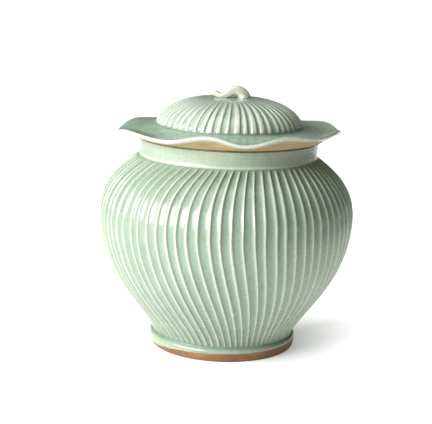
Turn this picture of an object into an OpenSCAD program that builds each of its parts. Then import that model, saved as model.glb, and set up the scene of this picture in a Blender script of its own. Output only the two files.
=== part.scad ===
// Lidded stoneware storage jar with carved upright ribs, an upright neck and a lotus-leaf lid.
// Thrown in sections that are luted together: foot, base, lower wall, upper wall, neck and lip,
// and for the lid a dome, a wavy brim, a locating ring and a stalk to lift it by.
// Units are millimetres, +Z is up and the origin is the centre of the foot on the floor.
// The side that faces the viewer is -Y, and angles round the jar are counted from there.

/* [Belly] */
// Widest diameter, over the ribs
belly_d = 260; // [240:1:280]
// Height of the widest place above the floor
belly_h = 138; // [125:1:148]
// Thickness of the thrown wall
wall = 6.5; // [5:0.5:8]
// Diameter of the waist, where the wall stands on the foot
waist_d = 146; // [136:1:156]
// Angle of the wall just above the waist, measured from level
waist_angle = 66; // [58:1:76]
// Length of the straight start of the wall above the waist
waist_reach = 28; // [18:1:36]
// Length of the upright stretch below the widest place
belly_pull_low = 64; // [50:1:72]
// Length of the upright stretch above the widest place
belly_pull_high = 32; // [24:1:38]
// Angle of the shoulder where it meets the neck, measured from level
shoulder_angle = 37; // [28:1:46]
// Length of the straight end of the shoulder at the neck
shoulder_reach = 21.5; // [14:0.5:26]

/* [Foot] */
// Outer diameter of the foot on the floor
foot_d = 149; // [140:1:156]
// Width of the standing ring
foot_w = 12; // [9:1:16]
// Height of the bare clay band
bare_h = 9; // [6:0.5:12]
// Height of the glazed roll above the bare band
roll_h = 5.7; // [4:0.1:8]
// How far the glazed roll stands out past the waist
roll_out = 3; // [1:0.5:5]
// Thickness of the base
base_t = 7; // [5:0.5:8]
// Height of the underside of the base above the floor
base_lift = 5; // [3:0.5:6]
// Depth of the dish in the top of the base
base_dish = 1.5; // [0.5:0.5:3]
// Bevel on the lower edges of the foot
foot_bevel = 1.2; // [0.5:0.1:2]
// Width of the level rim of the base, where it meets the foot
base_rim_w = 12; // [6:1:20]
// Width of the slope from that rim down into the dish
base_slope_w = 20; // [10:1:30]

/* [Neck] */
// Height of the base of the neck above the floor
neck_base_h = 198; // [190:1:206]
// Outer diameter at the base of the neck
neck_d = 181; // [174:1:190]
// Height of the neck from its base to the seat of the lid
neck_h = 17.6; // [14:0.1:26]
// Inner diameter of the mouth
mouth_d = 167; // [162:0.5:169]
// How far the lip stands out past the base of the neck
lip_out = 1.2; // [0.4:0.1:2]
// Height of the bare clay edge of the lip
lip_h = 2; // [1.5:0.1:3]
// Height of the slope inside the neck that meets the shoulder
neck_slope_h = 6; // [4:0.5:8]

/* [Jar ribs] */
// Number of ribs round the belly
jar_ribs = 76; // [60:4:88]
// Depth of the flutes between the ribs
rib_depth = 1.5; // [0.8:0.1:2]
// Share of the pitch that the top of a rib takes
rib_land = 0.3; // [0.2:0.05:0.5]
// Turn of the ribs from the belly down to the foot, in degrees
rib_lean_low = 11.5; // [0:0.5:16]
// Turn of the ribs from the belly up to the neck, in degrees
rib_lean_high = 4; // [0:0.5:8]
// Place of the first rib at the belly, in degrees from the front
rib_start = 2; // [0:0.1:4]

/* [Lid] */
// Diameter of the dome at its foot, over the ribs
dome_d = 149; // [140:1:154]
// Height of the dome above its foot
dome_rise = 26.7; // [20:0.1:34]
// Diameter of the level crown that carries the stalk
crown_d = 46; // [46:1:54]
// Thickness of the lid's wall
lid_wall = 6; // [4.5:0.5:7]
// Height of the dome's foot above the seat
dome_lift = 12.7; // [11:0.1:15]
// Number of ribs round the dome
lid_ribs = 54; // [40:2:64]
// Depth of the flutes on the dome
lid_rib_depth = 1.2; // [0.6:0.1:1.6]
// Turn of the dome's ribs from foot to crown, in degrees
lid_rib_lean = 4; // [0:0.5:8]

/* [Leaf brim] */
// Mean diameter of the brim
brim_d = 226; // [216:1:236]
// How far a full lobe of the brim's edge rises or falls
lobe_rise = 4; // [1:0.1:4.5]
// Middle height of the top of the brim's edge above the seat
brim_lift = 10.6; // [9.5:0.1:14]
// Thickness of the brim at its edge
brim_edge_t = 3.4; // [2.5:0.1:4.5]
// Turn of the whole leaf, in degrees
leaf_turn = 0; // [-20:1:20]
// Width of the level seat past the outside of the lip
seat_spare = 1.4; // [0.5:0.1:3]
// Width of the hollow round the foot of the dome
hollow_w = 4; // [2:0.5:6]
// How far the brim's top reaches past the foot of the dome before it drops
land_w = 0.5; // [0.2:0.1:1]

/* [Locating ring] */
// Depth of the ring below the seat
ring_depth = 12; // [8:0.5:16]
// Thickness of the ring
ring_w = 5; // [4:0.5:6]
// Gap all round between the ring and the mouth
mouth_gap = 1.4; // [0.8:0.1:2.5]

/* [Stalk] */
// Thickness of the stalk at the top of its arch
stalk_d = 7.8; // [6:0.1:8.5]
// Height of the top of the stalk above the crown
stalk_rise = 13; // [12:0.1:18]
// Length of the stalk from its tip to the middle of its foot
stalk_span = 32; // [26:1:34]
// Number of soft ridges that wind round the stalk
stalk_ridges = 4; // [3:1:6]
// Turn of the ridges from end to end, in degrees
stalk_twist = 300; // [0:10:400]

/* [Hidden] */

$fn = 120;
celadon = [0.66, 0.76, 0.67];
pale_celadon = [0.76, 0.82, 0.73];
bare_clay = [0.70, 0.46, 0.28];
front = -90;
points_per_rib = 3;
full_turn = 360;

// Heights that follow from the driving sizes
waist_h = bare_h + roll_h;
seat_h = neck_base_h + neck_h;
dome_foot_h = seat_h + dome_lift;
crown_h = dome_foot_h + dome_rise;

// Radii that follow from the driving sizes
waist_r = waist_d / 2;
belly_r = belly_d / 2;
neck_r = neck_d / 2;
mouth_r = mouth_d / 2;
lip_r = neck_r + lip_out;
roll_r = waist_r + roll_out;
foot_r = foot_d / 2;
foot_bore_r = foot_r - foot_w;
dome_r = dome_d / 2;
crown_r = crown_d / 2;
brim_r = brim_d / 2;
ring_r = mouth_r - mouth_gap;
ring_bore_r = ring_r - ring_w;

// Number of rings of points on each surface
lower_steps = 9;
upper_steps = 7;
inside_steps = 5;
dome_steps = 9;
brim_points = 120;
stalk_sides = 14;
stalk_steps = 28;

// The dome's outline is a superellipse with these two powers
dome_power = 2.1;
dome_root = 1.68;

// A wall that leans counts as this much thicker across at most
most_lean = 1.5;

// The wall's outer line, as two smooth curves that meet upright at the widest place
lower_curve = [
    [waist_r, waist_h],
    [waist_r + waist_reach * cos(waist_angle), waist_h + waist_reach * sin(waist_angle)],
    [belly_r, belly_h - belly_pull_low],
    [belly_r, belly_h]
];
upper_curve = [
    [belly_r, belly_h],
    [belly_r, belly_h + belly_pull_high],
    [neck_r + shoulder_reach * cos(shoulder_angle), neck_base_h - shoulder_reach * sin(shoulder_angle)],
    [neck_r, neck_base_h]
];

function curve_at(c, t) =
    pow(1 - t, 3) * c[0] + 3 * pow(1 - t, 2) * t * c[1] + 3 * (1 - t) * t * t * c[2] + pow(t, 3) * c[3];
function curve_slope(c, t) =
    3 * pow(1 - t, 2) * (c[1] - c[0]) + 6 * (1 - t) * t * (c[2] - c[1]) + 3 * t * t * (c[3] - c[2]);
function wall_across(c, t) =
    let (d = curve_slope(c, t)) wall * min(most_lean, norm(d) / max(abs(d[1]), 0.001));

// Turn of the ribs at a height: none at the belly, more towards the foot and the neck
function rib_lean(h) =
    h < belly_h
        ? rib_lean_low * pow((belly_h - h) / (belly_h - waist_h), 1.5)
        : rib_lean_high * pow((h - belly_h) / (neck_base_h - belly_h), 4);

// Flutes fade out at the waist and at the neck
function fade(t) = min(1, 0.25 + 6 * t);

function polar(r, a, z) = [r * cos(a), r * sin(a), z];

// A ring of ribs: two points on the top of each rib and one at the bottom of the flute beside it
function ribbed_ring(r, z, depth, count, turn) = [
    for (i = [0 : count - 1], j = [0 : points_per_rib - 1])
        let (share = [-rib_land / 2, rib_land / 2, 0.5][j])
        polar(r - (j == 2 ? depth : 0), front + turn + (i + share) * full_turn / count, z)
];
// A plain ring with one point to a rib, in line with the first point of each rib
function plain_ring(r, z, count, turn) = [
    for (i = [0 : count - 1]) polar(r, front + turn + (i - rib_land / 2) * full_turn / count, z)
];

function join(lists) = [for (l = lists, p = l) p];

// Faces of the band between two rings of n points that start at a and at b
function band(n, a, b) = [
    for (i = [0 : n - 1], half = [0, 1])
        let (k = (i + 1) % n)
        half == 0 ? [a + i, b + i, b + k] : [a + i, b + k, a + k]
];
// Faces of a level end between a ribbed ring that starts at o and a plain ring that starts at q
function level_end(count, o, q, upward) = [
    for (i = [0 : count - 1], f = [0 : 3])
        let (
            k = (i + 1) % count,
            p = o + points_per_rib * i,
            corners = [
                [q + i, p + 1, p],
                [q + i, p + 2, p + 1],
                [q + i, q + k, p + 2],
                [q + k, o + points_per_rib * k, p + 2]
            ][f]
        )
        upward ? corners : [corners[2], corners[1], corners[0]]
];
// Faces of rings of n points, one after another from the start index
function bands(n, start, rings) = join([for (s = [0 : rings - 2]) band(n, start + s * n, start + (s + 1) * n)]);

// A wall of ribs outside and plain inside, between two levels of one curve
module ribbed_wall(curve, steps, fade_at_start, fade_at_end) {
    n = jar_ribs * points_per_rib;
    outside = [
        for (s = [0 : steps])
            let (t = s / steps, p = curve_at(curve, t))
            ribbed_ring(p[0], p[1],
                rib_depth * (fade_at_start ? fade(t) : 1) * (fade_at_end ? fade(1 - t) : 1),
                jar_ribs, rib_start + rib_lean(p[1]))
    ];
    inside = [
        for (s = [inside_steps : -1 : 0])
            let (t = s / inside_steps, p = curve_at(curve, t))
            plain_ring(p[0] - wall_across(curve, t), p[1], jar_ribs, rib_start + rib_lean(p[1]))
    ];
    inside_start = n * (steps + 1);
    last_inside = inside_start + jar_ribs * inside_steps;
    polyhedron(
        points = concat(join(outside), join(inside)),
        faces = concat(
            bands(n, 0, steps + 1),
            level_end(jar_ribs, n * steps, inside_start, true),
            bands(jar_ribs, inside_start, inside_steps + 1),
            level_end(jar_ribs, 0, last_inside, false)
        ),
        convexity = 6
    );
}

module foot_ring() {
    color(bare_clay)
        rotate_extrude()
            polygon([
                [foot_bore_r + foot_bevel, 0],
                [foot_r - foot_bevel, 0],
                [foot_r, foot_bevel],
                [roll_r, bare_h],
                [foot_bore_r, bare_h],
                [foot_bore_r, foot_bevel]
            ]);
}

// The roll is a quarter round that leans in from the glaze line to the waist
module foot_roll() {
    color(celadon)
        rotate_extrude()
            difference() {
                translate([foot_bore_r, bare_h])
                    square([roll_r - foot_bore_r, roll_h]);
                difference() {
                    translate([waist_r, bare_h])
                        square([2 * roll_out, 2 * roll_h]);
                    intersection() {
                        translate([roll_r - roll_h, bare_h])
                            circle(r = roll_h);
                        translate([waist_r, bare_h])
                            square([2 * roll_out, roll_h]);
                    }
                }
            }
}

// The base is a saucer dropped inside the foot
module base_disc() {
    color(celadon)
        rotate_extrude()
            polygon([
                [0, base_lift],
                [foot_bore_r, base_lift],
                [foot_bore_r, base_lift + base_t],
                [foot_bore_r - base_rim_w, base_lift + base_t],
                [foot_bore_r - base_rim_w - base_slope_w, base_lift + base_t - base_dish],
                [0, base_lift + base_t - base_dish]
            ]);
}

module lower_wall() {
    color(celadon)
        ribbed_wall(lower_curve, lower_steps, true, false);
}

module upper_wall() {
    color(celadon)
        ribbed_wall(upper_curve, upper_steps, false, true);
}

module neck_collar() {
    shoulder_bore_r = neck_r - wall_across(upper_curve, 1);
    color(pale_celadon)
        rotate_extrude()
            polygon([
                [shoulder_bore_r, neck_base_h],
                [neck_r, neck_base_h],
                [neck_r, neck_base_h + neck_h / 2],
                [lip_r, seat_h - lip_h],
                [mouth_r, seat_h - lip_h],
                [mouth_r, neck_base_h + neck_slope_h]
            ]);
}

// The lip's bare edge is rounded outside and inside and level on top, where the lid sits
module lip_ring() {
    corner = lip_h / 2;
    color(bare_clay)
        rotate_extrude() {
            translate([mouth_r, seat_h - lip_h])
                square([lip_r - mouth_r, lip_h - corner]);
            translate([mouth_r + corner, seat_h - lip_h])
                square([lip_r - mouth_r - 2 * corner, lip_h]);
            for (x = [mouth_r + corner, lip_r - corner])
                translate([x, seat_h - corner])
                    circle(r = corner, $fn = 32);
        }
}

// Height of the dome's outline above its foot at a share of the way from crown edge to foot
function dome_z(x, rise) = rise * pow(1 - pow(x, dome_power), 1 / dome_root);

// Rings lie closer together towards the foot, where the outline turns down
function dome_share(s, steps) = sin(90 * s / steps);

module lid_dome() {
    n = lid_ribs * points_per_rib;
    outside = [
        for (s = [dome_steps : -1 : 0])
            let (x = dome_share(s, dome_steps), r = crown_r + (dome_r - crown_r) * x)
            ribbed_ring(r, dome_foot_h + dome_z(x, dome_rise),
                lid_rib_depth * min(1, max(0, 2.2 * x - 0.4)),
                lid_ribs, lid_rib_lean * (1 - x))
    ];
    inside = [
        for (s = [0 : inside_steps])
            let (x = dome_share(s, inside_steps), edge = dome_r - lid_wall, middle = crown_r - lid_wall)
            plain_ring(middle + (edge - middle) * x, dome_foot_h + dome_z(x, dome_rise - lid_wall),
                lid_ribs, lid_rib_lean * (1 - x))
    ];
    inside_start = n * (dome_steps + 1);
    last_outside = n * dome_steps;
    color(celadon)
        polyhedron(
            points = concat(join(outside), join(inside)),
            faces = concat(
                bands(n, 0, dome_steps + 1),
                bands(lid_ribs, inside_start, inside_steps + 1),
                level_end(lid_ribs, 0, inside_start + lid_ribs * inside_steps, false),
                [[for (i = [n - 1 : -1 : 0]) last_outside + i]],
                [[for (i = [0 : lid_ribs - 1]) inside_start + i]]
            ),
            convexity = 6
        );
}

// The leaf's edge was pinched by hand, so its eight dips and eight crests all differ. Each mark is
// a place in degrees from the front and a height as a share of lobe_rise about brim_lift.
leaf_marks = [
    [-92, -1.65], [-60, 0], [-34, -0.55], [-10, 1.2], [7.5, -0.5], [30, 1.3], [50, 0.5], [73, 0.9],
    [93, -0.5], [114, 0.4], [140, -0.6], [162, 0.7], [184, -0.75], [203, 0.55], [222, -1], [242, -0.4]
];

// Height of the leaf's edge at an angle, easing from each mark to the next
function leaf_wave(a) =
    let (
        first = leaf_marks[0][0],
        b = first + ((a - first) % full_turn + full_turn) % full_turn,
        k = max([for (i = [0 : len(leaf_marks) - 1]) if (leaf_marks[i][0] <= b) i]),
        m = leaf_marks[k],
        n = k + 1 < len(leaf_marks) ? leaf_marks[k + 1] : leaf_marks[0] + [full_turn, 0],
        t = (b - m[0]) / (n[0] - m[0])
    )
    m[1] + (n[1] - m[1]) * (1 - cos(180 * t)) / 2;

// The brim's edge rises and falls in lobes, more and more towards the edge
module leaf_brim() {
    seat_r = lip_r + seat_spare;
    reach = brim_r - seat_r;
    dome_bore_r = dome_r - lid_wall;
    // Each point is radius, height above the seat and share of the wave
    section = [
        [dome_bore_r, dome_lift, 0],
        [dome_bore_r, lid_wall, 0],
        [ring_bore_r - land_w, 0, 0],
        [seat_r, 0, 0],
        [seat_r + 0.3 * reach, 0.18 * brim_lift, 0.3],
        [seat_r + 0.65 * reach, 0.42 * brim_lift, 0.68],
        [brim_r - brim_edge_t / 4, brim_lift - brim_edge_t, 1],
        [brim_r, brim_lift - brim_edge_t / 2, 1],
        [brim_r - brim_edge_t / 4, brim_lift, 1],
        [seat_r + 0.65 * reach, 0.88 * brim_lift, 0.68],
        [seat_r + 0.3 * reach, 0.77 * brim_lift, 0.3],
        [seat_r, 0.74 * brim_lift, 0],
        [dome_r + hollow_w, 0.45 * dome_lift + 0.45 * brim_lift, 0],
        [dome_r + land_w, dome_lift, 0]
    ];
    rings = [
        for (s = section) [
            for (i = [0 : brim_points - 1])
                let (a = i * full_turn / brim_points)
                polar(s[0], front + a, seat_h + s[1] + s[2] * lobe_rise * leaf_wave(a - leaf_turn))
        ]
    ];
    count = len(section);
    color(celadon)
        polyhedron(
            points = join(rings),
            faces = concat(
                bands(brim_points, 0, count),
                band(brim_points, (count - 1) * brim_points, 0)
            ),
            convexity = 6
        );
}

module locating_ring() {
    bevel = ring_w / 4;
    color(bare_clay)
        rotate_extrude()
            polygon([
                [ring_bore_r, seat_h],
                [ring_bore_r, seat_h - ring_depth + bevel],
                [ring_bore_r + bevel, seat_h - ring_depth],
                [ring_r - bevel, seat_h - ring_depth],
                [ring_r, seat_h - ring_depth + bevel],
                [ring_r, seat_h]
            ]);
}

// The stalk's middle line from its foot, over the arch and down to its tip. Each point is a share of
// the span along X, a share of the span along Y and a share of the height of the top's middle,
// then the thickness there as a share of stalk_d.
stalk_line = [
    [0.45, 0.02, -0.20, 1.70],
    [0.44, 0.02, 0.15, 1.50],
    [0.38, 0.01, 0.62, 1.18],
    [0.23, 0, 0.98, 1.00],
    [0.04, -0.03, 0.78, 0.86],
    [-0.14, -0.05, 0.48, 0.80],
    [-0.32, -0.03, 0.29, 0.78],
    [-0.50, 0.04, 0.46, 0.80]
];

// A smooth line through the points of a list
function through(list, u) =
    let (
        last = len(list) - 1,
        i = min(floor(u), last - 1),
        t = u - i,
        a = list[max(i - 1, 0)],
        b = list[i],
        c = list[i + 1],
        d = list[min(i + 2, last)]
    )
    0.5 * (2 * b + (c - a) * t + (2 * a - 5 * b + 4 * c - d) * t * t + (3 * b - a - 3 * c + d) * pow(t, 3));

function stalk_at(u) =
    let (p = through(stalk_line, u))
    [stalk_span * p[0], stalk_span * p[1], crown_h + (stalk_rise - stalk_d / 2) * p[2], stalk_d / 2 * p[3]];

module stem_knob() {
    last = len(stalk_line) - 1;
    tip = 0.06;
    rings = [
        for (s = [0 : stalk_steps])
            let (
                share = s / stalk_steps,
                u = last * min(share, 0.999),
                here = stalk_at(u),
                ahead = stalk_at(min(u + 0.01, last)) - stalk_at(max(u - 0.01, 0)),
                along = [ahead[0], ahead[1], ahead[2]] / norm([ahead[0], ahead[1], ahead[2]]),
                side = cross([0, 1, 0], along) / norm(cross([0, 1, 0], along)),
                up = cross(along, side),
                round_off = share < 1 - tip ? 1 : sqrt(max(0.2, 1 - pow((share - 1 + tip) / tip, 2)))
            )
            [
                for (k = [0 : stalk_sides - 1])
                    let (
                        a = -k * full_turn / stalk_sides,
                        ridge = 1 + 0.06 * cos(stalk_ridges * a + stalk_twist * share),
                        r = here[3] * ridge * round_off
                    )
                    [here[0], here[1], here[2]] + r * (cos(a) * side + sin(a) * up)
            ]
    ];
    n = stalk_sides;
    color(pale_celadon)
        difference() {
            polyhedron(
                points = join(rings),
                faces = concat(
                    bands(n, 0, stalk_steps + 1),
                    [[for (i = [0 : n - 1]) i]],
                    [[for (i = [n - 1 : -1 : 0]) stalk_steps * n + i]]
                ),
                convexity = 6
            );
            translate([-stalk_span, -stalk_span, crown_h - stalk_span])
                cube([2 * stalk_span, 2 * stalk_span, stalk_span]);
        }
}

foot_ring();
foot_roll();
base_disc();
lower_wall();
upper_wall();
neck_collar();
lip_ring();
lid_dome();
leaf_brim();
locating_ring();
stem_knob();
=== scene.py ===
"""The looks of a celadon jar with carved ribs and a lotus-leaf lid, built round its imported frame."""
import math
from collections import namedtuple

import bpy
import numpy as np
from mathutils import Matrix, Vector


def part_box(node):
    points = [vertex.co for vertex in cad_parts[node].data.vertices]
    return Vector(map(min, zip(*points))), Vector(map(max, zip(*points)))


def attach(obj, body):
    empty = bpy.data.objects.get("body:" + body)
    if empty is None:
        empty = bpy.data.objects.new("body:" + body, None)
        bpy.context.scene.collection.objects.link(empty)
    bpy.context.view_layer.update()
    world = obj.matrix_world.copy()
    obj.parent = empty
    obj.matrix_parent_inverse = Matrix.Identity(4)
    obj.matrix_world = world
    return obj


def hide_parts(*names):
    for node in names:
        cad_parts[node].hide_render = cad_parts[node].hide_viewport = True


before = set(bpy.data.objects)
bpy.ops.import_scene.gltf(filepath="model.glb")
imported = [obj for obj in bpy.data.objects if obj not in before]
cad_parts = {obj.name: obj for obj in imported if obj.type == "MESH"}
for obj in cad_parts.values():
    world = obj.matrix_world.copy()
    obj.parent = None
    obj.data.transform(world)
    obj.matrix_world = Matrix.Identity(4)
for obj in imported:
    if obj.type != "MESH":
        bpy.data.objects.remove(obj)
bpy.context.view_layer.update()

MM = 0.001
FRONT = -math.pi / 2
FULL_TURN = 2 * math.pi

# Every slip of the carving hand is drawn from this one seed
carver = np.random.RandomState(41)


# Sizes that the frame gives

def top(node):
    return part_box(node)[1].z


def bottom(node):
    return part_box(node)[0].z


def reach(node):
    """Half a node's width."""
    low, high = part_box(node)
    return (high.x - low.x) / 2


bare_h = top("foot_ring")
waist_h = top("foot_roll")
belly_h = top("lower_wall")
neck_base_h = top("upper_wall")
seat_h = top("lip_ring")
dome_foot_h = bottom("lid_dome")
crown_h = top("lid_dome")
ring_low_h = bottom("locating_ring")
base_low_h = bottom("base_disc")
base_top_h = top("base_disc")
roll_r = reach("foot_roll")
foot_bore_r = reach("base_disc")
lip_r = reach("lip_ring")
ring_r = reach("locating_ring")
brim_r = reach("leaf_brim")

# Sizes that the frame doesn't show by itself
belly_r = 130 * MM
waist_r = 73 * MM
neck_r = 90.5 * MM
mouth_r = 83.5 * MM
foot_r = 74.5 * MM
wall = 6.5 * MM
lip_low_h = seat_h - 2 * MM
dome_r = 74.5 * MM
crown_r = 23 * MM
lid_wall = 6 * MM
ring_bore_r = ring_r - 5 * MM
seat_r = lip_r + 1.4 * MM
brim_lift = 10.6 * MM
brim_edge_t = 3.4 * MM
lobe_rise = 4 * MM

# The ribs
jar_ribs = 76
rib_depth = 1.45 * MM
rib_start = math.radians(2)
rib_lean_low = math.radians(11.5)
rib_lean_high = math.radians(4)
lid_ribs = 54
lid_rib_depth = 1.0 * MM
lid_rib_start = math.radians(-1)
lid_rib_lean = math.radians(4)

# Each sample across a rib: on the land as a share of its half width, or in the flute as a share across
LAND_SAMPLES = [-1, -0.4, 0.4, 1]
FLUTE_SAMPLES = [0.06, 0.16, 0.31, 0.69, 0.84, 0.94]
samples_per_rib = len(LAND_SAMPLES) + len(FLUTE_SAMPLES)


# Smooth lines

def curve_at(points, t):
    """A point of the smooth curve that four points steer."""
    a, b, c, d = (np.array(p) for p in points)
    return (1 - t) ** 3 * a + 3 * (1 - t) ** 2 * t * b + 3 * (1 - t) * t * t * c + t ** 3 * d


def curve_slope(points, t):
    a, b, c, d = (np.array(p) for p in points)
    return 3 * (1 - t) ** 2 * (b - a) + 6 * (1 - t) * t * (c - b) + 3 * t * t * (d - c)


def at_angle(start, length, degrees):
    """A point at a distance from another, up at an angle from level."""
    turned = math.radians(degrees)
    return (start[0] + length * math.cos(turned), start[1] + length * math.sin(turned))


lower_curve = [
    (waist_r, waist_h),
    at_angle((waist_r, waist_h), 28 * MM, 66),
    (belly_r, belly_h - 64 * MM),
    (belly_r, belly_h),
]
upper_curve = [
    (belly_r, belly_h),
    (belly_r, belly_h + 32 * MM),
    at_angle((neck_r, neck_base_h), 21.5 * MM, -37),
    (neck_r, neck_base_h),
]


def wall_across(points, t):
    """The wall measured level: more than its thickness where it slopes, by half as much again at most."""
    slope = curve_slope(points, t)
    return wall * min(1.5, np.linalg.norm(slope) / max(abs(slope[1]), 1e-6))


def arc(centre, radius, start, end, steps):
    """Points on a round stretch, from one angle to another in degrees."""
    angles = [math.radians(start + (end - start) * k / steps) for k in range(steps + 1)]
    return [(centre[0] + radius * math.cos(a), centre[1] + radius * math.sin(a)) for a in angles]


def through(points, steps):
    """Points on a smooth line through a few points, with this many steps between each two."""
    p = [np.array(q, float) for q in points]
    line = []
    for i in range(len(p) - 1):
        a, b, c, d = p[max(i - 1, 0)], p[i], p[i + 1], p[min(i + 2, len(p) - 1)]
        for k in range(steps):
            t = k / steps
            line.append(0.5 * (2 * b + (c - a) * t + (2 * a - 5 * b + 4 * c - d) * t * t
                               + (3 * b - a - 3 * c + d) * t ** 3))
    line.append(p[-1])
    return line


def swell(x, middle, spread):
    """A smooth hump: 1 at the middle, and next to nothing two spreads away."""
    return np.exp(-((x - middle) / spread) ** 2)


def from_front(angle):
    """Degrees from the jar's front, -180 to 180, of an angle round its axis in radians."""
    return (np.degrees(angle - FRONT) + 180) % 360 - 180


def round_axis(radius, angle, height):
    """Corners at these distances from the jar's axis, at these angles round it and these heights."""
    return np.stack([radius * np.cos(angle), radius * np.sin(angle), height], 1)


# Turning on the wheel

def let_go():
    """Leaves edit mode and selects nothing."""
    if bpy.context.object and bpy.context.object.mode != "OBJECT":
        bpy.ops.object.mode_set(mode="OBJECT")
    bpy.ops.object.select_all(action="DESELECT")


def corners_of(piece):
    co = np.zeros(len(piece.data.vertices) * 3)
    piece.data.vertices.foreach_get("co", co)
    return co.reshape(-1, 3)


def put_corners(piece, co):
    piece.data.vertices.foreach_set("co", co.ravel())
    piece.data.update()


def paint(piece, name, values):
    """Keeps one number for each corner of a piece, for its finish to read."""
    layer = piece.data.attributes.new(name, "FLOAT", "POINT")
    layer.data.foreach_set("value", np.full(len(piece.data.vertices), values, float))


def draw_section(name, line):
    """Draws a section beside the axis by extruding one corner from point to point."""
    let_go()
    bpy.ops.mesh.primitive_plane_add(size=MM, location=(line[0][0], 0, line[0][1]))
    piece = bpy.context.object
    piece.name = name
    piece.data.name = name
    bpy.ops.object.transform_apply(location=True, rotation=True, scale=True)
    bpy.ops.object.mode_set(mode="EDIT")
    bpy.ops.mesh.select_all(action="SELECT")
    bpy.ops.mesh.merge(type="CENTER")
    for here, there in zip(line, line[1:]):
        step = (there[0] - here[0], 0, there[1] - here[1])
        bpy.ops.mesh.extrude_region_move(TRANSFORM_OT_translate={"value": step})
    return piece


def nearest_section_point(co, section):
    """For each corner, which point of the turned section it came from."""
    at_once = 20000      # corners compared together, which spares memory
    flat = np.stack([np.hypot(co[:, 0], co[:, 1]), co[:, 2]], 1)
    points = np.array(section)
    found = np.zeros(len(co), int)
    for start in range(0, len(co), at_once):
        part = flat[start:start + at_once]
        gap = ((part[:, None, :] - points[None]) ** 2).sum(2)
        found[start:start + at_once] = gap.argmin(1)
    return found


def turn(name, section, steps, cuts, closed=True):
    """Turns a section round the jar's axis, then cuts each step round it finer.

    Gives the piece and, for each corner, the section point it came from and its place among the cuts.
    A closed section ends where it starts. An open one starts and ends on the axis.
    """
    weld_gap = 0.002 * MM
    sharp = math.radians(62)
    piece = draw_section(name, section + section[:1] if closed else section)
    bpy.ops.mesh.select_all(action="SELECT")
    bpy.ops.mesh.spin(steps=steps, angle=FULL_TURN, center=(0, 0, 0), axis=(0, 0, 1))
    bpy.ops.mesh.select_all(action="SELECT")
    bpy.ops.mesh.remove_doubles(threshold=weld_gap)
    bpy.ops.mesh.select_all(action="SELECT")
    bpy.ops.mesh.normals_make_consistent(inside=False)
    bpy.ops.mesh.select_mode(type="EDGE")
    bpy.ops.mesh.select_all(action="DESELECT")
    bpy.ops.object.mode_set(mode="OBJECT")
    point = nearest_section_point(corners_of(piece), section)
    ends = np.zeros(len(piece.data.edges) * 2, int)
    piece.data.edges.foreach_get("vertices", ends)
    round_going = point[ends[0::2]] == point[ends[1::2]]
    piece.data.edges.foreach_set("select", round_going)
    bpy.ops.object.mode_set(mode="EDIT")
    bpy.ops.mesh.subdivide(number_cuts=cuts - 1, smoothness=0)
    bpy.ops.mesh.select_mode(type="VERT")
    bpy.ops.object.mode_set(mode="OBJECT")
    bpy.ops.object.shade_smooth_by_angle(angle=sharp)
    co = corners_of(piece)
    point = nearest_section_point(co, section)
    places = steps * cuts
    place = np.rint(np.arctan2(co[:, 1], co[:, 0]) / FULL_TURN * steps * cuts).astype(int) % places
    put_corners(piece, round_axis(np.array(section)[point, 0], place * FULL_TURN / places, co[:, 2]))
    return piece, point, place


def dress(piece, material, body, node):
    """Gives a piece its finish and the body it rides on, and hides the node it stands for."""
    piece.data.materials.append(material)
    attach(piece, body)
    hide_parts(node)


# Carving the ribs

def slips(count, amount):
    """One small slip of the hand for each of count ribs, now and then almost twice the usual amount."""
    widest = 1.8
    return amount * np.clip(carver.normal(size=count), -widest, widest)


class Ribs:
    """Where each rib's edges run, in pitches from rib to rib, with the slips of a carving hand."""

    width_slip, depth_slip, sway_share = 0.22, 0.12, 0.7
    sway_length = 26 * MM
    swell_length, swell_share = 17 * MM, 0.15
    flared_half_width = 0.3

    def __init__(self, count, land, slip):
        self.count = count
        self.land = land
        self.shift = slips(count, slip)
        self.width = 1 + slips(count, self.width_slip)
        self.depth = 1 + slips(count, self.depth_slip)
        self.sway = slips(count, slip * self.sway_share)
        self.phase = carver.uniform(0, FULL_TURN, count)
        self.bite = np.clip(carver.uniform(-1.2, 1.0, count), 0, 1)

    def middle(self, i, along):
        """Place of a rib's middle at a distance along it in metres."""
        k = i % self.count
        return i + self.shift[k] + self.sway[k] * np.sin(along / self.sway_length + self.phase[k])

    def half_width(self, i, along, flare):
        k = i % self.count
        wave = 1 + self.swell_share * np.sin(along / self.swell_length + 2 * self.phase[k])
        return self.land / 2 * self.width[k] * wave * (1 - flare) + self.flared_half_width * flare


wall_ribs = Ribs(jar_ribs, land=0.14, slip=0.05)
dome_ribs = Ribs(lid_ribs, land=0.42, slip=0.06)


# What the carving tool does, with a number for each point of a section:
#   outside   1 where the point is on the carved outside
#   lean      how far round the ribs have leant there, in radians
#   depth     how deep the flutes are
#   flare     how far the ribs open out, from 0 to 1
#   along     the distance along a rib
#   smooth    how thin the glaze runs where no rib is carved, from 0 to 1
Stroke = namedtuple("Stroke", "outside lean depth flare along smooth")

# A flute's section: how deep its edges start as a share of the depth, how far its bottom moves to one side,
# and how flat the bottom is
edge_drop = 0.1
flute_skew = 0.9
flute_flatness = 3.4


def outward(section, outside):
    """Outward direction at each point of a section, or none where the point isn't on the carved outside."""
    found = np.zeros((len(section), 2))
    carved = np.nonzero(outside)[0]
    along = np.gradient(np.array(section)[carved], axis=0)
    along /= np.linalg.norm(along, axis=1)[:, None] + 1e-12
    turned = np.stack([along[:, 1], -along[:, 0]], 1)
    found[carved] = turned * np.sign(turned[:, 0].sum())
    return found


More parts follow.
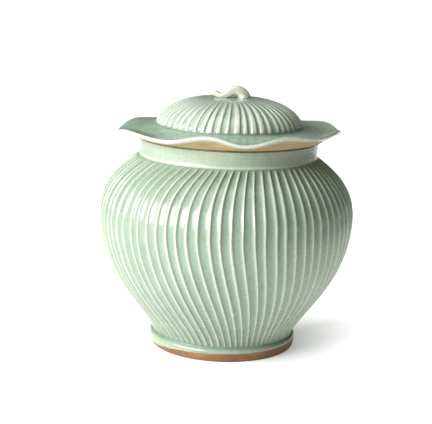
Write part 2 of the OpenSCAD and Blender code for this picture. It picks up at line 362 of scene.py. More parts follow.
def carve(piece, point, step, section, ribs, start, stroke, hand=None):
    """Carves the flutes of a turned piece, and paints where its ribs' tops and worn edges are, and painted
    light on each flute's side towards the next rib.

    hand, where given, says how much more the strokes lean at a height and at an azimuth in degrees.
    """
    co = corners_of(piece)
    rib, sample = step // samples_per_rib, step % samples_per_rib
    along = stroke.along[point]
    flare = stroke.flare[point]
    middle = ribs.middle(rib, along)
    half = ribs.half_width(rib, along, flare)
    this_edge = middle + half
    next_edge = ribs.middle(rib + 1, along) - ribs.half_width(rib + 1, along, flare)
    on_land = sample < len(LAND_SAMPLES)
    land_share = np.array(LAND_SAMPLES + [1] * len(FLUTE_SAMPLES))[sample]
    flute_share = np.array([0] * len(LAND_SAMPLES) + FLUTE_SAMPLES)[sample]
    in_flute = this_edge + (next_edge - this_edge) * flute_share
    place = np.where(on_land, middle + half * land_share, in_flute)
    angle = FRONT + start + place * FULL_TURN / ribs.count + stroke.lean[point]
    if hand:
        angle = angle + hand(co[:, 2], from_front(angle))
    off_middle = np.abs(2 * flute_share ** flute_skew - 1)
    scoop = edge_drop + (1 - edge_drop) * (1 - off_middle ** flute_flatness)
    cut = np.where(on_land, edge_drop * np.abs(land_share) ** 3, scoop)
    flute_depth = (ribs.depth[rib] + ribs.depth[(rib + 1) % ribs.count]) / 2
    cut = cut * flute_depth * stroke.depth[point] * stroke.outside[point]
    normal = outward(section, stroke.outside)[point]
    radius = np.hypot(co[:, 0], co[:, 1]) - cut * normal[:, 0]
    put_corners(piece, round_axis(radius, angle, co[:, 2] - cut * normal[:, 1]))

    shown = stroke.outside[point] * np.clip(stroke.depth[point] / stroke.depth.max(), 0, 1)
    # Paler up the flute's side towards the next rib: partly glaze running thin, partly painted light on the
    # slope that faces the left window
    flank_thin_and_lit = 0.6 * flute_share ** 7 + 0.15 * (1 - flute_share) ** 14
    land = np.where(on_land, 1 - 0.12 * np.abs(land_share) ** 2, flank_thin_and_lit)
    paint(piece, "land", np.maximum(land * shown, stroke.smooth[point]))
    bitten = np.where(on_land & (land_share == 1), ribs.bite[rib], 0)
    streak = 0.5 + 0.5 * np.sin(along / (9 * MM) + 3 * ribs.phase[rib])
    paint(piece, "worn_edge", bitten * shown * (0.35 + 0.65 * streak))


# The jar's wall

def low_share(h):
    """From 0 at the belly to 1 at the waist above the foot."""
    return np.clip((belly_h - h) / (belly_h - waist_h), 0, 1) ** 1.5


def high_share(h):
    """From 0 at the belly to 1 at the neck."""
    return np.clip((h - belly_h) / (neck_base_h - belly_h), 0, 1) ** 4


def rib_lean(h):
    return rib_lean_low * low_share(h) + rib_lean_high * high_share(h)


def hand_lean(h, azimuth):
    """How much more the strokes lean in front than at the sides, at an azimuth in degrees."""
    low = 3.4 * swell(azimuth, -6, 32) - 1.6 * swell(azimuth, 55, 20)
    high = 5.0 * swell(azimuth, -25, 28)
    return np.radians(low * low_share(h) + high * high_share(h))


def ribbed_wall(name, curve, outer_steps, inner_steps):
    """A part of the jar's wall, ribbed outside and smooth inside, with level ends."""
    near_end = 0.15 / outer_steps      # a point close to each end keeps the flutes sharp up to the joint
    outer_t = [0, near_end] + [k / outer_steps for k in range(1, outer_steps)] + [1 - near_end, 1]
    outer = [tuple(curve_at(curve, t)) for t in outer_t]
    inner = []
    for k in range(inner_steps, -1, -1):
        t = k / inner_steps
        p = curve_at(curve, t)
        inner.append((p[0] - wall_across(curve, t), p[1]))
    section = outer + inner
    piece, point, step = turn(name, section, jar_ribs, samples_per_rib)
    heights = np.array([p[1] for p in section])
    outside = np.array([1.0] * len(outer) + [0.0] * len(inner))
    foot_fade = np.clip((heights - waist_h - 0.6 * MM) / (3.2 * MM), 0, 1)
    neck_fade = np.clip((neck_base_h - 1.0 * MM - heights) / (3.0 * MM), 0, 1)
    stroke = Stroke(
        outside=outside,
        lean=np.array([rib_lean(h) for h in heights]),
        depth=rib_depth * np.sqrt(foot_fade) * np.sqrt(neck_fade),
        flare=np.clip(1 - (heights - waist_h) / (4.5 * MM), 0, 1) ** 2,
        along=heights,
        smooth=np.zeros(len(section)),
    )
    carve(piece, point, step, section, wall_ribs, rib_start, stroke, hand_lean)
    pool = np.exp(-(heights - waist_h) / (3 * MM)) + 0.4 * np.exp(-(neck_base_h - heights) / (4 * MM))
    paint(piece, "pool", (pool * outside)[point])
    return piece


def make_walls():
    lower = ribbed_wall("lower_wall_glazed", lower_curve, 62, 14)
    upper = ribbed_wall("upper_wall_glazed", upper_curve, 44, 10)
    dress(lower, celadon, "jar", "lower_wall")
    dress(upper, celadon, "jar", "upper_wall")


# The plain turned parts of the jar

def make_foot_ring():
    """The bare clay band, with the glaze running down over it at the left."""
    bevel = 1.2 * MM
    clay_r = roll_r - 0.25 * MM
    section = [
        (foot_bore_r, bare_h),
        (foot_bore_r, bevel),
        (foot_bore_r + bevel, 0),
        (foot_r - bevel, 0),
        *arc((foot_r - bevel, bevel), bevel, -75, -8, 5),
        (foot_r + 0.15 * MM, 2.4 * MM),
        (foot_r + 0.4 * MM, 3.6 * MM),
        (foot_r + 0.7 * MM, 4.8 * MM),
        (clay_r - 0.35 * MM, 6 * MM),
        (clay_r - 0.1 * MM, 7.2 * MM),
        (clay_r, bare_h - 0.6 * MM),
        (clay_r - 0.1 * MM, bare_h),
    ]
    ring, _, _ = turn("foot_ring_bare", section, 60, 4)
    co = corners_of(ring)
    azimuth = from_front(np.arctan2(co[:, 1], co[:, 0]))
    glaze_low = bare_h - 7.6 * MM * swell(azimuth, -84, 42) - 1.5 * MM * swell(azimuth, 150, 50)
    paint(ring, "low", np.clip((bare_h - co[:, 2]) / bare_h, 0, 1))
    paint(ring, "bare", np.clip(0.5 - (co[:, 2] - glaze_low) / (1.2 * MM), 0, 1))
    paint(ring, "land", 0.35)
    paint(ring, "pool", 0)
    paint(ring, "worn_edge", 0)
    dress(ring, foot_finish, "jar", "foot_ring")


def make_foot_roll():
    """The glazed roll, with a pale line at its lower edge and pooled glaze where it meets the wall."""
    roll_h = waist_h - bare_h
    low = bare_h + 0.02 * MM
    outline = through([
        (roll_r - 0.5 * MM, low),
        (roll_r - 0.05 * MM, bare_h + 0.16 * roll_h),
        (roll_r - 0.15 * MM, bare_h + 0.36 * roll_h),
        (roll_r - 1.1 * MM, bare_h + 0.62 * roll_h),
        (waist_r + 0.25 * MM, bare_h + 0.86 * roll_h),
        (waist_r, waist_h),
    ], 4)
    section = [(foot_bore_r, low)] + [tuple(p) for p in outline] + [(foot_bore_r, waist_h)]
    roll, _, _ = turn("foot_roll_glazed", section, 60, 6)
    share = (corners_of(roll)[:, 2] - bare_h) / roll_h
    paint(roll, "land", 0.75 * np.clip(1 - share / 0.14, 0, 1) + 0.25 * swell(share, 0.35, 0.2))
    paint(roll, "pool", np.clip((share - 0.6) / 0.4, 0, 1))
    paint(roll, "worn_edge", 0)
    dress(roll, celadon, "jar", "foot_roll")


def make_base():
    """The base, with a level rim inside the foot and a shallow dish in its middle."""
    rim, slope, dish = 12 * MM, 20 * MM, 1.5 * MM
    section = [
        (0, base_low_h + 0.6 * MM),
        (20 * MM, base_low_h + 0.45 * MM),
        (45 * MM, base_low_h + 0.1 * MM),
        (foot_bore_r - 1 * MM, base_low_h),
        (foot_bore_r, base_low_h + 0.6 * MM),
        (foot_bore_r, base_top_h),
        (foot_bore_r - rim, base_top_h),
        (foot_bore_r - rim - slope / 2, base_top_h - 0.8 * dish),
        (foot_bore_r - rim - slope, base_top_h - dish),
        (0, base_top_h - dish),
    ]
    base, _, _ = turn("base_disc_turned", section, 40, 4, closed=False)
    paint(base, "low", 0.4)
    dress(base, bare_clay, "jar", "base_disc")


def make_neck():
    """The plain neck, with a small fillet on the shoulder, a painted highlight along it, and faint throwing
    lines.
    """
    line_depth, line_pitch = 0.06 * MM, 3.68 * MM
    outline = through([
        (neck_r + 1.7 * MM, neck_base_h - 0.95 * MM),
        (neck_r + 0.75 * MM, neck_base_h + 0.05 * MM),
        (neck_r + 0.2 * MM, neck_base_h + 1.1 * MM),
        (neck_r - 0.05 * MM, neck_base_h + 3.2 * MM),
        (neck_r + 0.15 * MM, neck_base_h + 8 * MM),
        (lip_r - 0.5 * MM, lip_low_h - 3 * MM),
        (lip_r - 0.1 * MM, lip_low_h),
    ], 6)
    shoulder_bore_r = neck_r - wall_across(upper_curve, 1)
    section = [tuple(p) for p in outline] + [
        (mouth_r, lip_low_h),
        (mouth_r, neck_base_h + 6 * MM),
        (shoulder_bore_r + 0.8 * MM, neck_base_h + 2 * MM),
        (shoulder_bore_r, neck_base_h),
    ]
    neck, _, _ = turn("neck_collar_glazed", section, 60, 8)
    co = corners_of(neck)
    radius = np.hypot(co[:, 0], co[:, 1])
    height = co[:, 2] - neck_base_h
    inside = radius < (neck_r + mouth_r) / 2
    plain = inside | (co[:, 2] < neck_base_h + 2.5 * MM) | (co[:, 2] > lip_low_h - 0.5 * MM)
    lines = np.where(plain, 0, line_depth * np.sin(height / line_pitch * FULL_TURN))
    co[:, :2] *= ((radius + lines) / radius)[:, None]
    put_corners(neck, co)
    # A pale band along the fillet is a painted highlight; just below it the glaze pools darker
    paint(neck, "land", np.where(inside, 0.45, 0.35 + 0.6 * swell(height, 0.6 * MM, 1.1 * MM)))
    paint(neck, "pool", np.where(inside, 0, 0.5 * swell(height, -1.1 * MM, 0.5 * MM)))
    paint(neck, "worn_edge", 0)
    dress(neck, celadon, "jar", "neck_collar")


def make_lip():
    """The lip's bare edge, rounded on both sides and a hair below the lid's seat."""
    round_r = 1 * MM
    level = seat_h - 0.03 * MM
    section = [
        (mouth_r, lip_low_h),
        (lip_r - 0.05 * MM, lip_low_h),
        *arc((lip_r - round_r, level - round_r), round_r, 0, 90, 6),
        *arc((mouth_r + round_r, level - round_r), round_r, 90, 180, 6),
    ]
    lip, _, _ = turn("lip_ring_bare", section, 60, 6)
    paint(lip, "low", np.clip((level - corners_of(lip)[:, 2]) / (2 * MM), 0, 1))
    dress(lip, lip_clay_and_shade, "jar", "lip_ring")


# The lid

def dome_point(x, rise, inner_r, outer_r):
    """A point of the dome's outline at a share of the way from its crown to its foot."""
    crown_fullness, flank_fullness = 2.1, 1.68
    fall = (1 - x ** crown_fullness) ** (1 / flank_fullness)
    return (inner_r + (outer_r - inner_r) * x, dome_foot_h + rise * fall)


def make_dome():
    """The ribbed dome, smooth round its level crown."""
    rise = crown_h - dome_foot_h
    steps, inner_steps = 56, 16
    crown_land = 0.55
    outer = [
        dome_point(math.sin(math.pi / 2 * k / steps), rise, crown_r, dome_r)
        for k in range(steps, -1, -1)
    ]
    outer += [(crown_r * share, crown_h) for share in (0.8, 0.6, 0.4, 0.2, 0.05)]
    inner_crown_r, inner_dome_r = crown_r - lid_wall, dome_r - lid_wall
    inner = [(0, crown_h), (0, crown_h - lid_wall), (8 * MM, crown_h - lid_wall)]
    inner += [
        dome_point(math.sin(math.pi / 2 * k / inner_steps), rise - lid_wall, inner_crown_r, inner_dome_r)
        for k in range(inner_steps + 1)
    ]
    section = outer + inner
    piece, point, step = turn("lid_dome_glazed", section, lid_ribs, samples_per_rib)
    radii = np.array([p[0] for p in section])
    heights = np.array([p[1] for p in section])
    outside = np.array([1.0] * len(outer) + [0.0] * len(inner))
    x = np.clip((radii - crown_r) / (dome_r - crown_r), 0, 1)
    foot_fade = np.clip((heights - dome_foot_h - 0.5 * MM) / (1.6 * MM), 0, 1)
    along = np.zeros(len(section))
    for k in range(1, len(outer)):
        along[k] = along[k - 1] + math.dist(outer[k - 1], outer[k])
    on_crown = np.where(heights > crown_h - 0.1 * MM, crown_land, 0)
    stroke = Stroke(
        outside=outside,
        lean=lid_rib_lean * (1 - x),
        depth=lid_rib_depth * np.clip(1.9 * x - 0.3, 0, 1) * np.sqrt(foot_fade),
        flare=np.zeros(len(section)),
        along=along,
        smooth=np.maximum(crown_land * np.clip(1.1 - 2.4 * x, 0, 1) * outside, on_crown),
    )
    carve(piece, point, step, section, dome_ribs, lid_rib_start, stroke)
    paint(piece, "pool", (np.exp(-(heights - dome_foot_h) / (2 * MM)) * outside)[point])
    dress(piece, dome_glaze_and_top_light, "lid", "lid_dome")


# Marks of the leaf's edge: degrees from the front, and height as a share of lobe_rise about brim_lift
LEAF_MARKS = [
    (-92, -1.65), (-60, 0), (-34, -0.55), (-10, 1.2), (7.5, -0.5), (30, 1.3), (50, 0.5), (73, 0.9),
    (93, -0.5), (114, 0.4), (140, -0.6), (162, 0.7), (184, -0.75), (203, 0.55), (222, -1), (242, -0.4),
]


def leaf_wave(angle):
    """Height of the leaf's edge at each angle in degrees, easing from mark to mark."""
    first, first_height = LEAF_MARKS[0]
    turned = first + (angle - first) % 360
    marks = LEAF_MARKS + [(first + 360, first_height)]
    wave = np.zeros(len(angle))
    for (a, low), (b, high) in zip(marks, marks[1:]):
        here = (turned >= a) & (turned <= b)
        ease = (1 - np.cos(math.pi * (turned - a) / (b - a))) / 2
        wave = np.where(here, low + (high - low) * ease, wave)
    return wave


def make_brim():
    """The leaf's brim. Each point of its line has a radius, a height above the seat and a share of the wave."""
    dome_lift = dome_foot_h - seat_h
    span = brim_r - seat_r
    edge_foot = (brim_r - 0.85 * MM, brim_lift - brim_edge_t, 1)
    edge_top = (brim_r - 1.1 * MM, brim_lift, 1)
    under = through([
        (ring_bore_r - 0.5 * MM, 0.0, 0),
        (seat_r, 0.0, 0),
        (seat_r + 0.3 * span, 0.18 * brim_lift, 0.3),
        (seat_r + 0.65 * span, 0.42 * brim_lift, 0.68),
        edge_foot,
    ], 8)
    edge = through([
        edge_foot,
        (brim_r - 0.15 * MM, brim_lift - 0.72 * brim_edge_t, 1),
        (brim_r, brim_lift - 0.45 * brim_edge_t, 1),
        (brim_r - 0.3 * MM, brim_lift - 0.15 * brim_edge_t, 1),
        edge_top,
    ], 3)
    over = through([
        edge_top,
        (seat_r + 0.65 * span, 0.88 * brim_lift, 0.68),
        (seat_r + 0.3 * span, 0.77 * brim_lift, 0.3),
        (seat_r, 0.74 * brim_lift, 0),
        (dome_r + 4 * MM, 0.45 * dome_lift + 0.45 * brim_lift, 0),
        (dome_r + 1.2 * MM, dome_lift - 0.9 * MM, 0),
        (dome_r - 0.6 * MM, dome_lift, 0),
    ], 8)
    bore = [(dome_r - lid_wall, dome_lift, 0), (dome_r - lid_wall, lid_wall, 0)]
    line = [tuple(p) for p in under[:-1] + edge[:-1] + over + bore]
    section = [(p[0], seat_h + p[1]) for p in line]
    piece, point, _ = turn("leaf_brim_glazed", section, 60, 8)
    co = corners_of(piece)
    azimuth = from_front(np.arctan2(co[:, 1], co[:, 0]))
    wave_share = np.array([min(max(p[2], 0), 1.02) for p in line])
    co[:, 2] += wave_share[point] * lobe_rise * leaf_wave(azimuth)
    put_corners(piece, co)

    radii = np.array([p[0] for p in line])
    marks = np.arange(len(line))
    edge_start = len(under) - 1
    edge_end = edge_start + len(edge) - 1
    below = marks < edge_start
    in_bore = np.where(marks >= edge_end + len(over), 1.0, 0.0)
    glaze_runs_in = 8 * MM * swell(azimuth, -78, 36) + 5 * MM * swell(azimuth, 84, 30)
    glaze_end = brim_r - 2.6 * MM - glaze_runs_in
    bare = np.clip(0.5 + (glaze_end - radii[point]) / (1.2 * MM), 0, 1) * below[point]
    near_edge = np.exp(-(brim_r - radii) / (1.3 * MM))
    near_dome = np.exp(-np.abs(radii - dome_r - 0.8 * MM) / (1.5 * MM)) * (marks > edge_end)
    paint(piece, "bare", np.maximum(bare, in_bore[point]))
    paint(piece, "land", np.where(below, 0.8, near_edge * 0.95)[point])
    paint(piece, "pool", near_dome[point])
    paint(piece, "worn_edge", 0)
    dress(piece, brim_glaze_and_top_light, "lid", "leaf_brim")


def make_locating_ring():
    """The ring that hangs below the lid inside the mouth, rounded at its lower edge."""
    round_r = 1.25 * MM
    section = [
        (ring_bore_r, seat_h),
        *arc((ring_bore_r + round_r, ring_low_h + round_r), round_r, 180, 270, 5),
        *arc((ring_r - round_r, ring_low_h + round_r), round_r, 270, 360, 5),
        (ring_r, seat_h),
    ]
    ring, _, _ = turn("locating_ring_bare", section, 60, 4)
    paint(ring, "low", np.clip((seat_h - corners_of(ring)[:, 2]) / (14 * MM), 0, 1))
    dress(ring, bare_clay, "lid", "locating_ring")


# The stalk's middle line: shares of its span along X and Y, of its height, and of its thickness
STALK_LINE = [
    (0.43, 0.02, -0.20, 1.90),
    (0.425, 0.02, 0.08, 1.72),
    (0.40, 0.02, 0.34, 1.56),
    (0.34, 0.01, 0.62, 1.42),
    (0.21, 0, 0.83, 1.33),
    (0.05, -0.02, 0.75, 1.15),
    (-0.09, -0.04, 0.43, 1.00),
    (-0.21, -0.05, 0.26, 0.86),
    (-0.31, -0.04, 0.22, 0.74),
    (-0.41, 0, 0.34, 0.78),
    (-0.51, 0.04, 0.52, 0.74),
]


def stalk_rings():
    """The middle and the radius of each ring of corners along the stalk."""
    span, rise, thick = 32 * MM, 9.1 * MM, 3.9 * MM
    line = through(STALK_LINE, 8)
    points = [Vector((span * p[0], span * p[1], crown_h + rise * p[2])) for p in line]
    return points, [float(thick * p[3]) for p in line]


def draw_tube(name, points, radius, sides):
    """Draws a tube with a ring of corners at each point, by extruding a round disc."""
    let_go()
    bpy.ops.mesh.primitive_circle_add(vertices=sides, radius=radius, fill_type="NGON", location=points[0])
    piece = bpy.context.object
    piece.name = name
    piece.data.name = name
    bpy.ops.object.transform_apply(location=True, rotation=True, scale=True)
    bpy.ops.object.mode_set(mode="EDIT")
    bpy.ops.mesh.select_all(action="SELECT")
    for here, there in zip(points, points[1:]):
        bpy.ops.mesh.extrude_region_move(TRANSFORM_OT_translate={"value": there - here})
    bpy.ops.object.mode_set(mode="OBJECT")
    return piece


def make_stalk():
    """The curled stalk: ridged and twisted, thick at its root, rounded and bare at its cut tip."""
    sides, ridges, twist = 32, 4, math.radians(300)
    ridge_rise = 0.055
    tip_start, tip_blunt = 0.95, 0.12
    points, radii = stalk_rings()
    piece = draw_tube("stem_knob_glazed", points, radii[0], sides)
    co = corners_of(piece)
    last = len(points) - 1
    along = np.zeros(len(co))
    ridge_top = np.zeros(len(co))
    for r in range(len(points)):
        ahead = points[min(r + 1, last)] - points[max(r - 1, 0)]
        ahead.normalize()
        side = Vector((0, 1, 0)).cross(ahead).normalized()
        up = ahead.cross(side)
        share = r / last
        taper = 1
        if share >= tip_start:
            taper = math.sqrt(max(tip_blunt, 1 - ((share - tip_start) / (1 - tip_start)) ** 2))
        grown = min(1, share * 6)
        for k in range(sides):
            a = k * FULL_TURN / sides
            wave = math.cos(ridges * a + twist * share)
            radius = radii[r] * taper * (1 + ridge_rise * grown * wave)
            co[r * sides + k] = points[r] + radius * (math.cos(a) * side + math.sin(a) * up)
            along[r * sides + k] = share
            ridge_top[r * sides + k] = (wave + 1) / 2 * grown
    put_corners(piece, co)
    paint(piece, "land", 0.55 + 0.4 * ridge_top)
    paint(piece, "tip", np.clip((along - 0.93) / 0.05, 0, 1))
    paint(piece, "pool", np.clip(1 - (co[:, 2] - crown_h) / (1.5 * MM), 0, 1))
    paint(piece, "worn_edge", 0)
    bpy.ops.object.mode_set(mode="EDIT")
    bpy.ops.mesh.select_all(action="SELECT")
    bpy.ops.mesh.normals_make_consistent(inside=False)
    bpy.ops.mesh.bisect(
        plane_co=(0, 0, crown_h + 0.02 * MM), plane_no=(0, 0, 1), use_fill=True, clear_inner=True)
    bpy.ops.object.mode_set(mode="OBJECT")
    bpy.ops.object.shade_smooth_by_angle(angle=math.radians(50))
    dress(piece, stalk_glaze, "lid", "stem_knob")


# Finishes

class Finish:
    """A material and the small tools that lay out its nodes."""

    number_sockets = (2, 3)      # where Blender's mix node takes its two numbers
    colour_sockets = (6, 7)      # where it takes its two colours

    def __init__(self, name):
        self.material = bpy.data.materials.new(name)
        self.material.use_nodes = True
        self.tree = self.material.node_tree
        self.shader = next(n for n in self.tree.nodes if n.type == "BSDF_PRINCIPLED")
        self.place = self.tree.nodes.new("ShaderNodeTexCoord").outputs["Object"]

    def node(self, kind, **settings):
        made = self.tree.nodes.new(kind)
        for key, value in settings.items():
            setattr(made, key, value)
        return made

    def fill(self, socket, value):
        """Joins a socket to another one, or sets it to a value."""
        if isinstance(value, bpy.types.NodeSocket):
            self.tree.links.new(value, socket)
        else:
            socket.default_value = value

    def give(self, **inputs):
        """Fills inputs of the shader, named with _ for each space."""
        for name, value in inputs.items():
            self.fill(self.shader.inputs[name.replace("_", " ")], value)

    def given(self, name):
        """What fills an input of the shader now."""
        return self.shader.inputs[name].links[0].from_socket

    def painted(self, name):
        return self.node("ShaderNodeAttribute", attribute_name=name).outputs["Fac"]

    def noise(self, size, detail=2.0, rough=0.5, stretch=None):
        """Cloudy noise whose blotches are about this many metres across."""
        made = self.node("ShaderNodeTexNoise")
        made.inputs["Scale"].default_value = 1 / size
        made.inputs["Detail"].default_value = detail
        made.inputs["Roughness"].default_value = rough
        place = self.place
        if stretch:
            mapping = self.node("ShaderNodeMapping")
            mapping.inputs["Scale"].default_value = stretch
            self.fill(mapping.inputs["Vector"], place)
            place = mapping.outputs["Vector"]
        self.fill(made.inputs["Vector"], place)
        return made.outputs["Fac"]

    def math(self, operation, a, b=0.0, clamp=False):
        made = self.node("ShaderNodeMath", operation=operation, use_clamp=clamp)
        self.fill(made.inputs[0], a)
        self.fill(made.inputs[1], b)
        return made.outputs[0]

    def between(self, value, low, high, to_low=0.0, to_high=1.0):
        """Eases from one number to another while a value goes from low to high."""
        made = self.node("ShaderNodeMapRange", interpolation_type="SMOOTHSTEP")
        self.fill(made.inputs["Value"], value)
        made.inputs["From Min"].default_value = low
        made.inputs["From Max"].default_value = high
        made.inputs["To Min"].default_value = to_low
        made.inputs["To Max"].default_value = to_high
        return made.outputs["Result"]

    def mix(self, share, a, b):
        """From colour a to colour b."""
        made = self.node("ShaderNodeMix", data_type="RGBA")
        self.fill(made.inputs["Factor"], share)
        for index, value in zip(self.colour_sockets, (a, b)):
            self.fill(made.inputs[index], (*value, 1) if isinstance(value, tuple) else value)
        return made.outputs[2]

    def mix_numbers(self, share, a, b):
        made = self.node("ShaderNodeMix", data_type="FLOAT")
        self.fill(made.inputs["Factor"], share)
        for index, value in zip(self.number_sockets, (a, b)):
            self.fill(made.inputs[index], value)
        return made.outputs[0]

    def bump(self, height, distance, under=None):
        made = self.node("ShaderNodeBump")
        made.inputs["Strength"].default_value = 1.0
        made.inputs["Distance"].default_value = distance
        self.fill(made.inputs["Height"], height)
        if under is not None:
            self.fill(made.inputs["Normal"], under)
        return made.outputs["Normal"]


def shade(red, green, blue):
    """A colour as the eye reads it, 0 to 255, turned into light."""
    shares = (red / 255, green / 255, blue / 255)
    return tuple(c / 12.92 if c <= 0.04045 else ((c + 0.055) / 1.055) ** 2.4 for c in shares)


def tinted(colour, by):
    return tuple(c * k for c, k in zip(colour, by))


# How a glaze's deep colour drifts in clouds, in mottles, and in drips that are dark or pale
CLOUD_TINT = (1.12, 1.05, 1.08)
MOTTLE_TINT = (0.72, 0.82, 0.74)
DARK_DRIP = (0.6, 0.72, 0.62)
PALE_DRIP = (1.35, 1.22, 1.30)
SPECK_TINT = (0.55, 0.55, 0.55)
PIT_TINT = (0.35, 0.35, 0.35)


def glaze(name, deep, thin, pooled, worn):
    """Celadon: deep green where it lies thick, pale where it runs thin and where light is painted in, brown
    where it breaks on an edge.
    """
    f = Finish(name)
    cloud = f.noise(45 * MM, detail=3)
    mottle = f.noise(6 * MM, detail=3, rough=0.6)
    fine = f.noise(1.2 * MM, detail=2, rough=0.6)
    drip = f.noise(7 * MM, detail=3, rough=0.6, stretch=(1, 1, 0.22))
    tint = f.mix(f.between(cloud, 0.35, 0.65), deep, tinted(deep, CLOUD_TINT))
    tint = f.mix(f.between(mottle, 0.3, 0.75, 0, 0.45), tint, tinted(deep, MOTTLE_TINT))
    tint = f.mix(f.between(drip, 0.55, 0.72, 0, 0.5), tint, tinted(deep, DARK_DRIP))
    tint = f.mix(f.between(drip, 0.45, 0.30, 0, 0.35), tint, tinted(deep, PALE_DRIP))
    land = f.math("ADD", f.painted("land"), f.between(fine, 0.3, 0.7, -0.06, 0.06), clamp=True)
    colour = f.mix(land, tint, thin)
    pool = f.math("MULTIPLY", f.painted("pool"), f.between(mottle, 0.2, 0.8, 0.6, 1.0), clamp=True)
    colour = f.mix(f.math("MULTIPLY", pool, 0.75), colour, pooled)
    broken = f.between(f.noise(4 * MM), 0.35, 0.62)
    edge = f.math("MULTIPLY", f.painted("worn_edge"), broken, clamp=True)
    colour = f.mix(f.math("MULTIPLY", edge, 0.75), colour, worn)
    specks = f.between(f.noise(0.9 * MM, detail=1), 0.70, 0.78)
    colour = f.mix(f.math("MULTIPLY", specks, 0.35), colour, tinted(deep, SPECK_TINT))
    uneven = f.bump(f.noise(9 * MM, detail=1), 0.10 * MM)
    f.give(
        Base_Color=colour,
        Roughness=f.between(mottle, 0.3, 0.8, 0.21, 0.33),
        IOR=1.5,
        Coat_Weight=0.2,
        Coat_Roughness=0.15,
        Normal=f.bump(fine, 0.012 * MM, under=uneven),
    )
    return f


def clay(name, light, dark, toast, low_dark=0.6):
    """Bare stoneware: sandy and pitted, toasted in clouds, darker where it is painted low."""
    f = Finish(name)
    cloud = f.noise(20 * MM, detail=4, rough=0.6, stretch=(1, 1, 2.5))
    grain = f.noise(1.1 * MM, detail=3, rough=0.7)
    colour = f.mix(f.between(cloud, 0.35, 0.65), light, toast)
    colour = f.mix(f.between(grain, 0.35, 0.7, 0, 0.6), colour, dark)
    colour = f.mix(f.math("MULTIPLY", f.painted("low"), low_dark), colour, dark)
    pits = f.between(f.noise(1.6 * MM, detail=1), 0.66, 0.74)
    colour = f.mix(f.math("MULTIPLY", pits, 0.6), colour, tinted(dark, PIT_TINT))
    rings = f.bump(f.noise(4 * MM, detail=1, stretch=(0.15, 0.15, 4)), 0.15 * MM)
    f.give(
        Base_Color=colour,
        Roughness=f.between(grain, 0.3, 0.7, 0.62, 0.85),
        Normal=f.bump(grain, 0.08 * MM, under=rings),
    )
    return f


def half_glazed(f, light, dark, low_dark=0.0):
    """Leaves a glazed finish bare where the piece is painted bare, with a ragged edge."""
    cloud = f.noise(20 * MM, detail=4, rough=0.6, stretch=(1, 1, 2.5))
    grain = f.noise(1.2 * MM, detail=3, rough=0.7)
    raw = f.mix(f.between(cloud, 0.35, 0.65, 0, 0.5), light, dark)
    raw = f.mix(f.between(grain, 0.3, 0.7, 0, 0.55), raw, dark)
    raw = f.mix(f.math("MULTIPLY", f.painted("low"), low_dark), raw, dark)
    ragged = f.math("ADD", f.painted("bare"), f.between(f.noise(3 * MM), 0.3, 0.7, -0.2, 0.2))
    bare = f.between(ragged, 0.35, 0.65)
    f.give(
        Base_Color=f.mix(bare, f.given("Base Color"), raw),
        Roughness=f.mix_numbers(bare, f.given("Roughness"), 0.75),
        Coat_Weight=0.0,
    )
    return f


def bare_tipped(f, light, dark):
    """Leaves a glazed finish nearly bare where the piece is painted as a tip."""
    raw = f.mix(f.between(f.noise(1.4 * MM, detail=2), 0.3, 0.7), light, dark)
    tip = f.math("MULTIPLY", f.painted("tip"), f.between(f.noise(2 * MM), 0.25, 0.6, 0.4, 1), clamp=True)
    f.give(Base_Color=f.mix(tip, f.given("Base Color"), raw))
    return f


DEEP = shade(128, 149, 129)
THIN = shade(180, 188, 170)
POOLED = shade(74, 100, 80)
WORN = shade(150, 112, 90)

celadon = glaze("celadon_glaze", DEEP, THIN, POOLED, WORN).material
# The lid's glazes are paler than the body's celadon; that extra paleness is painted light from above on the
# lid's upward faces
dome_glaze_and_top_light = glaze("dome_glaze_and_top_light", shade(148, 165, 148), shade(188, 194, 178), POOLED, WORN).material
leaf = glaze("leaf_glaze_and_top_light", shade(146, 170, 148), shade(196, 200, 186), POOLED, WORN)
brim_glaze_and_top_light = half_glazed(leaf, shade(192, 172, 130), shade(152, 128, 92)).material
foot = glaze("foot_glaze", DEEP, THIN, POOLED, WORN)
foot_finish = half_glazed(foot, shade(156, 112, 72), shade(96, 64, 40), low_dark=0.5).material
stalk = glaze("stalk_glaze", shade(140, 154, 132), shade(190, 194, 176), POOLED, WORN)
stalk_glaze = bare_tipped(stalk, shade(168, 150, 118), shade(122, 104, 78)).material
bare_clay = clay("bare_clay", shade(158, 112, 72), shade(92, 62, 38), shade(136, 90, 52)).material
# The lip's clay is darker than the other bare clay: partly its own tone, partly painted shade under the lid's
# brim
lip_clay_and_shade = clay("lip_clay_and_shade", shade(128, 108, 80), shade(82, 62, 42), shade(112, 88, 62), low_dark=0.3).material


# The studio
WINDOW_LIGHT = 13.5
OVERHEAD_LIGHT = 2.6
ROOM_LIGHT = 0.75
# The floor's glow is painted light: it lifts the floor round the jar, washes out the jar's shadow behind it and
# to its right, and whitens the far floor
FLOOR_GLOW = 0.22
SIDE_GLOW = 0.75
FAR_GLOW = 0.9

# The room's tone from straight below to straight above: a share of the way up, then a colour
ROOM_TONES = [
    (0.0, (0.10, 0.09, 0.06)), (0.33, (0.10, 0.09, 0.06)), (0.42, (0.14, 0.13, 0.10)),
    (0.55, (0.22, 0.22, 0.21)), (0.8, (0.35, 0.35, 0.35)), (1.0, (0.45, 0.45, 0.45)),
]


